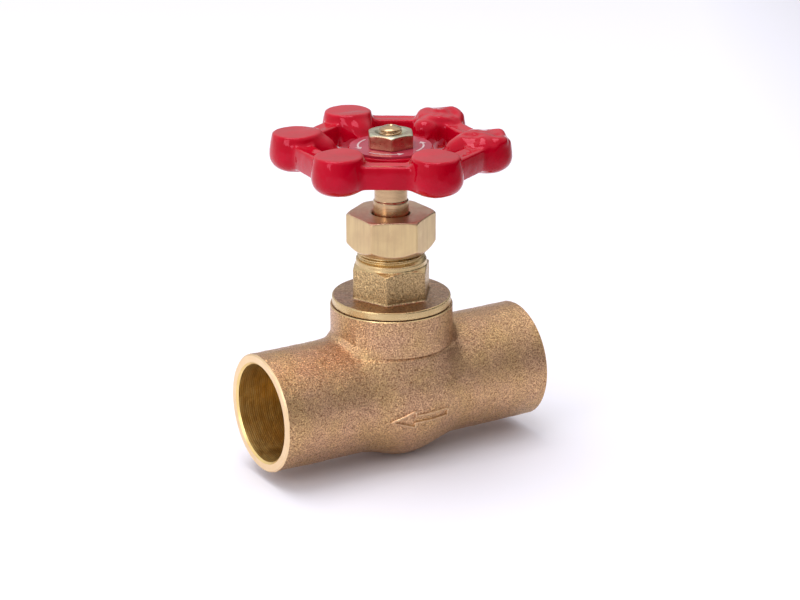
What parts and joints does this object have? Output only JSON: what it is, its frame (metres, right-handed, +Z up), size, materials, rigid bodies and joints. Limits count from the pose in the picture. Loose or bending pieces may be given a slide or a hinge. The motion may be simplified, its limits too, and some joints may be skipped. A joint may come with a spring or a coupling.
{
  "type": "globe-pattern stop valve",
  "caption": "Straight bronze stop valve with solder cup ends, screwed bonnet, packing nut, rising stem and a red lobed handwheel.",
  "frame": {"origin": "on the stem axis, level with the underside of the belly, under the crossing of pipe axis and stem axis", "axes": "+X along the pipe axis towards the inlet cup, +Y across the pipe, +Z up along the stem towards the handwheel"},
  "size_m": [0.0682, 0.054, 0.0776],
  "materials": {
    "cast_bronze": "sand-cast bronze with fine grain, turned at the neck and the cup faces",
    "bonnet_bronze": "cast hexagon and flange top, turned rim, collar and thread",
    "gasket_fibre": "thin dark fibre",
    "internal_brass": "turned",
    "graphite_packing": "braided graphite yarn pressed square",
    "nut_brass": "extruded hexagon bar with turned corners",
    "stem_brass": "turned",
    "seat_rubber": "moulded",
    "red_enamel": "glossy stove enamel on a casting",
    "plate_enamel": "satin enamel on a thin disc",
    "plated_nut": "zinc plated with a pale yellow passivate"
  },
  "bodies": {
    "body": {"valve_body": "cast_bronze", "bonnet_gasket": "gasket_fibre", "bonnet": "bonnet_bronze", "packing_washer": "internal_brass", "packing_ring_lower": "graphite_packing", "packing_ring_middle": "graphite_packing", "packing_ring_upper": "graphite_packing", "packing_gland": "internal_brass", "packing_nut": "nut_brass"},
    "disc_assembly": {"disc_holder": "internal_brass", "swivel_nut": "internal_brass", "seat_disc": "seat_rubber", "disc_washer": "internal_brass", "disc_screw": "internal_brass"},
    "stem_assembly": {"stem": "stem_brass", "handwheel": "red_enamel", "index_plate": "plate_enamel", "wheel_nut": "plated_nut"}
  },
  "joints": [
    {"name": "stem_rise", "type": "slide", "parent": "body", "child": "disc_assembly", "axis": [0, 0, 1], "range_m": [-0.006, 0]},
    {"name": "handwheel_turn", "type": "hinge", "parent": "disc_assembly", "child": "stem_assembly", "pos_m": [0, 0, 0.0159], "axis": [0, 0, 1], "range_deg": [-1440, 0]}
  ],
  "couplings": [
    {"joint": "handwheel_turn", "follows": "stem_rise", "rad_per_m": 4188.8}
  ]
}
